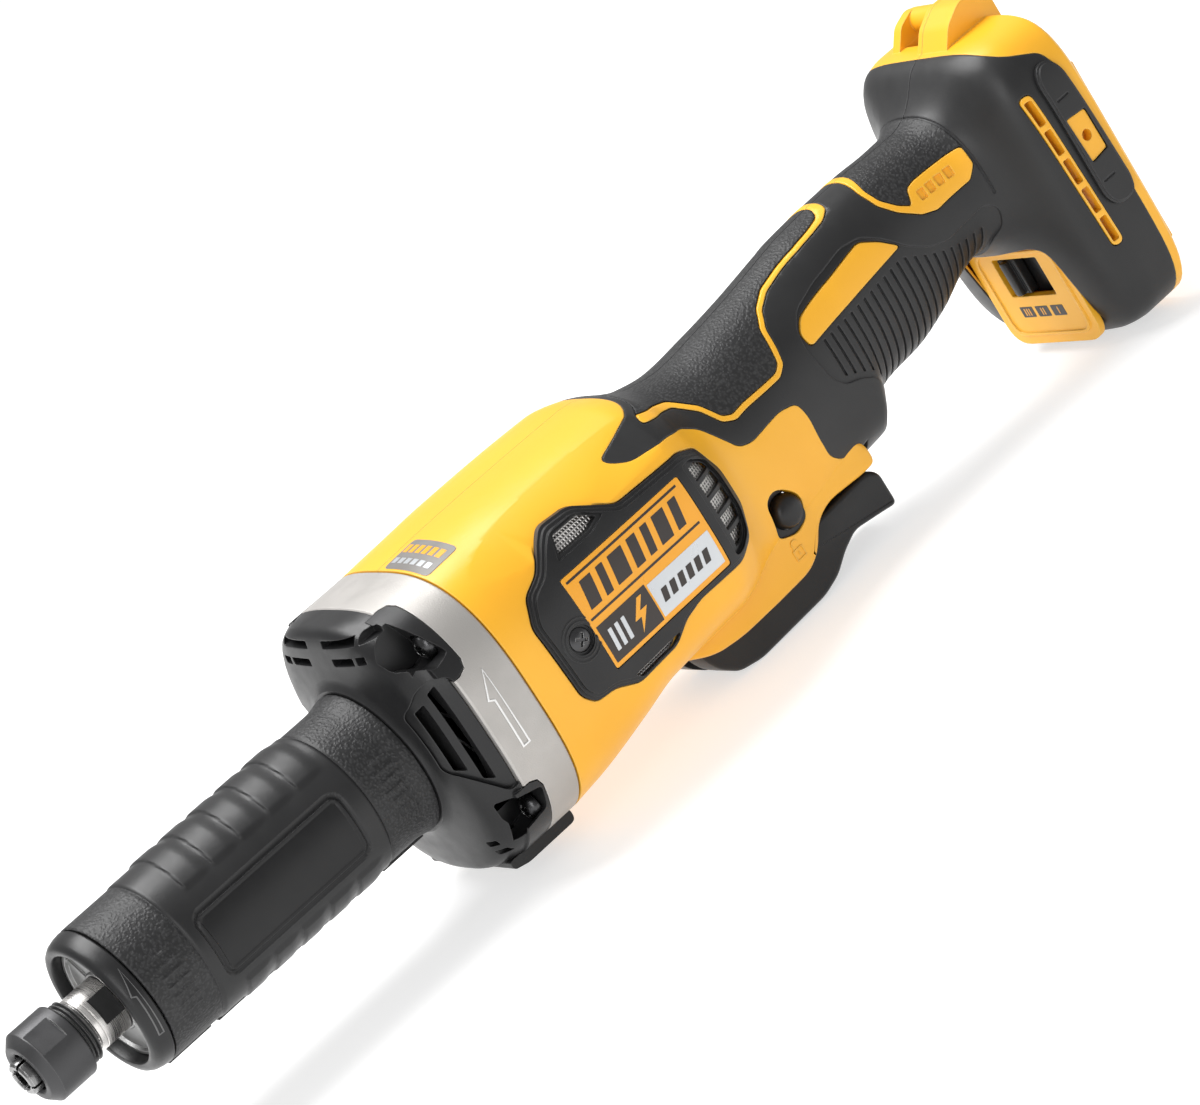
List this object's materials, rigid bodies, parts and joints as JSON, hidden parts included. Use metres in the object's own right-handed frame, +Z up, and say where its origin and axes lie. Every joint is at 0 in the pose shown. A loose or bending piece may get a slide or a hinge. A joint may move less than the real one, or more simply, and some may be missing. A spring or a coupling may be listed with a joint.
{
  "type": "die grinder",
  "caption": "Cordless straight die grinder with a collet nose, rubber barrel grip, clamshell motor body, lever-trigger handle and a battery foot with rails.",
  "frame": {"origin": "centre of the footprint box at the height of the lowest point, the underside of the trigger", "axes": "+X along the spindle from the collet to the battery foot; +Y from the tool's left side to its right side; +Z up, from the trigger to the top of the handle"},
  "size_m": [0.412, 0.084, 0.1066],
  "materials": {
    "yellow_shell": "fine satin mould texture",
    "soft_grip": "matt overmoulded rubber, pebbled on the gripping areas",
    "black_nylon": "satin glass-filled nylon",
    "collar_metal": "fine blasted casting",
    "bright_steel": "ground and polished",
    "black_steel": "black oxide",
    "laminations": "stacked sheet",
    "copper": "enamelled copper",
    "circuit": "potted circuit module",
    "label": "printed vinyl label",
    "filter_mesh": "woven wire"
  },
  "bodies": {
    "casing": {"housing_left": "yellow_shell", "housing_right": "yellow_shell", "speed_panel": "yellow_shell", "front_grip": "soft_grip", "grip_skin_left": "soft_grip", "grip_skin_right": "soft_grip", "foot_bumper_left": "soft_grip", "foot_bumper_right": "soft_grip", "nose_cap": "black_nylon", "front_housing": "black_nylon", "fan_baffle": "black_nylon", "motor_end_frame": "black_nylon", "intake_cover_left": "black_nylon", "intake_cover_right": "black_nylon", "switch_module": "black_nylon", "terminal_block": "black_nylon", "motor_collar": "collar_metal", "spindle_barrel": "collar_metal", "bearing_retainer": "bright_steel", "front_bearing": "bright_steel", "rear_spindle_bearing": "bright_steel", "motor_front_bearing": "bright_steel", "motor_rear_bearing": "bright_steel", "trigger_pin": "bright_steel", "trigger_spring": "bright_steel", "front_screw_1": "black_steel", "front_screw_2": "black_steel", "front_screw_3": "black_steel", "front_screw_4": "black_steel", "cover_screw_left": "black_steel", "cover_screw_right": "black_steel", "motor_stator": "laminations", "winding_front": "copper", "winding_rear": "copper", "battery_contact_1": "copper", "battery_contact_2": "copper", "battery_contact_3": "copper", "battery_contact_4": "copper", "control_module": "circuit", "cover_label_left": "label", "cover_label_right": "label", "intake_filter_left": "filter_mesh", "intake_filter_right": "filter_mesh"},
    "spindle_set": {"spindle": "bright_steel", "collet": "bright_steel", "shaft_coupling": "bright_steel", "rotor_shaft": "bright_steel", "rotor_core": "laminations", "cooling_fan": "black_nylon"},
    "nut": {"collet_nut": "black_steel"},
    "lever": {"trigger": "black_nylon"},
    "plunger": {"switch_plunger": "black_nylon"},
    "cross_button": {"lock_button": "black_nylon"},
    "speed_knob": {"speed_slider": "black_nylon"}
  },
  "joints": [
    {"name": "spindle_spin", "type": "hinge", "parent": "casing", "child": "spindle_set", "pos_m": [-0.1725, 0, 0.048], "axis": [1, 0, 0], "continuous": true},
    {"name": "nut_turn", "type": "hinge", "parent": "spindle_set", "child": "nut", "pos_m": [-0.1965, 0, 0.048], "axis": [-1, 0, 0], "range_deg": [0, 360]},
    {"name": "trigger_pull", "type": "hinge", "parent": "casing", "child": "lever", "pos_m": [0.0215, 0, 0.014], "axis": [0, -1, 0], "range_deg": [0, 7], "stiffness_Nm_per_rad": 3, "springref_deg": -11.46},
    {"name": "plunger_push", "type": "slide", "parent": "casing", "child": "plunger", "axis": [0, 0, 1], "range_m": [0, 0.0073]},
    {"name": "lock_slide", "type": "slide", "parent": "casing", "child": "cross_button", "axis": [0, -1, 0], "range_m": [0, 0.005]},
    {"name": "speed_slide", "type": "slide", "parent": "casing", "child": "speed_knob", "axis": [0, -1, 0], "range_m": [0, 0.01]}
  ],
  "couplings": [
    {"joint": "plunger_push", "follows": "trigger_pull", "m_per_rad": 0.059}
  ]
}
